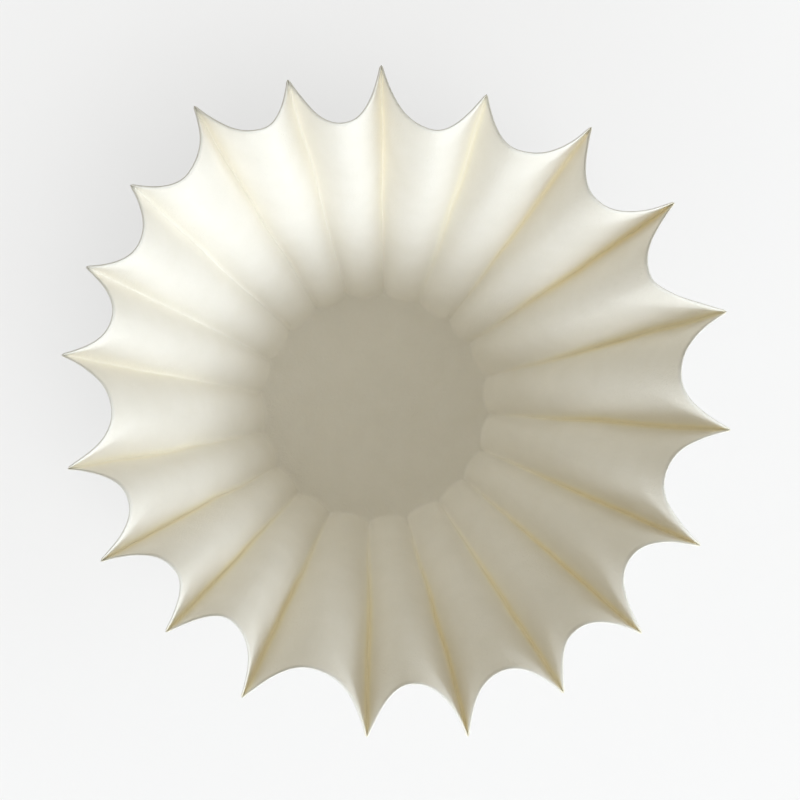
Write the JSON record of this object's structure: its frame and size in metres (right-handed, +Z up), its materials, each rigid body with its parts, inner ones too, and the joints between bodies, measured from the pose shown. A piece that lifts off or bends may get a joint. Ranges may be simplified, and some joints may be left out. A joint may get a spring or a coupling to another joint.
{
  "type": "paper coffee filter",
  "caption": "Open paper cup with a flat round base and a flared wall of pressed flutes, sharp outward creases and rounded inward ridges, for filtering coffee.",
  "frame": {"origin": "centre of the underside of the flat base", "axes": "+Z up through the open rim, square to the flat base; +X and +Y in the base's plane"},
  "size_m": [0.1193, 0.1193, 0.0639],
  "materials": {
    "filter_paper": "uncoated matte"
  },
  "bodies": {
    "root": {"coffee_filter": "filter_paper"}
  },
  "joints": []
}
